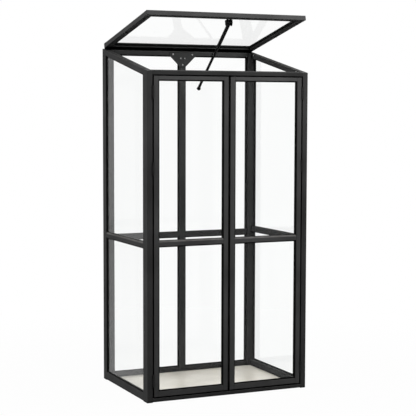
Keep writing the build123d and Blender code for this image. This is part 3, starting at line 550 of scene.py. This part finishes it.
def loose_parts(mesh):
    # Lists of points, one list for each separate solid
    work = bmesh.new()
    work.from_mesh(mesh)
    bmesh.ops.remove_doubles(work, verts=work.verts, dist=WELD)
    left = set(work.verts)
    parts = []
    while left:
        queue = [left.pop()]
        part = []
        while queue:
            point = queue.pop()
            part.append(point.co.copy())
            for edge in point.link_edges:
                other = edge.other_vert(point)
                if other in left:
                    left.remove(other)
                    queue.append(other)
        parts.append(part)
    work.free()
    return sorted(parts, key=lambda part: tuple(min(part, key=tuple)))


def across(point, axis):
    # How far a point lies off an axis through the middle
    return (point - axis * point.dot(axis)).length


def screw_seat(points, axes):
    # Where a plain screw's head rests, with Z pointing out of the head
    middle = sum(points, Vector()) / len(points)
    around = [point - middle for point in points]
    axis = min(axes, key=lambda way: max(across(point, way) for point in around))
    if sum(point.dot(axis) for point in around if across(point, axis) > 1.2 * SHANK_R) < 0:
        axis = -axis
    seat = middle + axis * (max(point.dot(axis) for point in around) - HEAD_H)
    return Matrix.Translation(seat) @ axis.to_track_quat("Z", "Y").to_matrix().to_4x4()


def set_screws(node, body):
    # Screws run along the frame's axes, or square to the lid's pane
    lid_square = max(nodes["lid_pane"].data.polygons, key=lambda face: face.area).normal.copy()
    axes = (Vector((1, 0, 0)), Vector((0, 1, 0)), Vector((0, 0, 1)), lid_square)
    pattern = cross_screw()
    work = bmesh.new()
    for i, points in enumerate(loose_parts(nodes[node].data)):
        one = pattern.copy()
        one.transform(screw_seat(points, axes) @ Matrix.Rotation(TURN_STEP * i, 4, "Z"))
        work.from_mesh(one)
    piece = linked_object(node + "_crossed", work)
    piece.data.polygons.foreach_set("use_smooth", [True] * len(piece.data.polygons))
    piece.data.set_sharp_from_angle(angle=CREASE)
    piece.data.materials.append(SCREW_ZINC)
    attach(piece, body)
    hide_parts(node)


dress_nodes()
set_screws("frame_screws", "frame")
set_screws("lid_bracket_screws", "lid")


# Studio
def light_paths(tree, mirrored):
    # One where the eye sees the studio, directly or through glass, and the given value in a mirror
    path = add(tree, "ShaderNodeLightPath").outputs
    through = reckon(tree, "MAXIMUM", path["Is Camera Ray"], path["Is Transmission Ray"])
    seen = reckon(tree, "MAXIMUM", through, reckon(tree, "MULTIPLY", path["Is Glossy Ray"], mirrored))
    return reckon(tree, "MULTIPLY", seen, reckon(tree, "LESS_THAN", path["Diffuse Depth"], 0.5))


def make_world():
    # White to the eye; mirrors see a dimmer room on the side that the doors face
    world = bpy.data.worlds.new("white_studio")
    world.use_nodes = True
    tree = world.node_tree
    ground = tree.nodes["Background"]
    ground.inputs["Color"].default_value = (1, 1, 1, 1)
    way = add(tree, "ShaderNodeSeparateXYZ")
    feed(tree, way.inputs[0], add(tree, "ShaderNodeTexCoord").outputs["Generated"])
    room = spread(tree, way.outputs["Y"], *ROOM_TURN, DOOR_SIDE_ROOM, REAR_SIDE_ROOM)
    strength = reckon(tree, "MAXIMUM", light_paths(tree, room), AMBIENT)
    feed(tree, ground.inputs["Strength"], strength)
    bpy.context.scene.world = world


def make_floor():
    # White to the eye but for a trace of the object's shadow
    mesh = bpy.data.meshes.new("studio_floor")
    signs = ((-1, -1), (1, -1), (1, 1), (-1, 1))
    mesh.from_pydata([(x * FLOOR_HALF, y * FLOOR_HALF, 0) for x, y in signs], [], [(0, 1, 2, 3)])
    floor = bpy.data.objects.new("studio_floor", mesh)
    bpy.context.scene.collection.objects.link(floor)
    finish, tree, shader = new_finish("pale_floor")
    shader.inputs["Base Color"].default_value = grey(FLOOR_TONE)
    shader.inputs["Roughness"].default_value = 0.9
    shader.inputs["Specular IOR Level"].default_value = 0.0
    white = add(tree, "ShaderNodeEmission")
    white.inputs["Strength"].default_value = 1.0
    away = add(tree, "ShaderNodeVectorMath", operation="LENGTH")
    feed(tree, away.inputs[0], own_place(tree))
    clear = spread(tree, away.outputs["Value"], *FLOOR_FADE, FLOOR_CLEAR, 1.0)
    choose = add(tree, "ShaderNodeMixShader")
    feed(tree, choose.inputs[0], reckon(tree, "MULTIPLY", light_paths(tree, FLOOR_MIRRORED), clear))
    feed(tree, choose.inputs[1], shader.outputs[0])
    feed(tree, choose.inputs[2], white.outputs[0])
    feed(tree, tree.nodes["Material Output"].inputs["Surface"], choose.outputs[0])
    mesh.materials.append(finish)


def make_softboxes():
    target = (cad_box[0] + cad_box[1]) / 2
    for name, (at, size, watts) in SOFTBOXES.items():
        lamp = bpy.data.lights.new(name, "AREA")
        lamp.shape = "RECTANGLE"
        lamp.size, lamp.size_y = size
        lamp.energy = watts
        holder = bpy.data.objects.new(name, lamp)
        holder.location = at
        holder.rotation_euler = (target - Vector(at)).to_track_quat("-Z", "Y").to_euler()
        holder.visible_glossy = False
        holder.visible_transmission = False
        bpy.context.scene.collection.objects.link(holder)


def make_camera():
    lens = bpy.data.cameras.new("photo_camera")
    lens.sensor_width = SENSOR
    lens.lens = FOCAL / PICTURE * SENSOR
    lens.clip_start = 0.1
    lens.clip_end = 100.0
    level = Vector((math.cos(CAMERA_YAW), -math.sin(CAMERA_YAW), 0.0))
    reach = math.cos(CAMERA_PITCH)
    ahead = Vector((math.sin(CAMERA_YAW) * reach, math.cos(CAMERA_YAW) * reach, math.sin(CAMERA_PITCH)))
    above = level.cross(ahead)
    right = level * math.cos(CAMERA_ROLL) + above * math.sin(CAMERA_ROLL)
    up = above * math.cos(CAMERA_ROLL) - level * math.sin(CAMERA_ROLL)
    turn = Matrix((right, up, -ahead)).transposed().to_4x4()
    camera = bpy.data.objects.new("photo_camera", lens)
    camera.matrix_world = Matrix.Translation(CAMERA_AT) @ turn
    bpy.context.scene.collection.objects.link(camera)
    bpy.context.scene.camera = camera


make_world()
make_floor()
make_softboxes()
make_camera()
bpy.context.scene.view_settings.view_transform = "Standard"
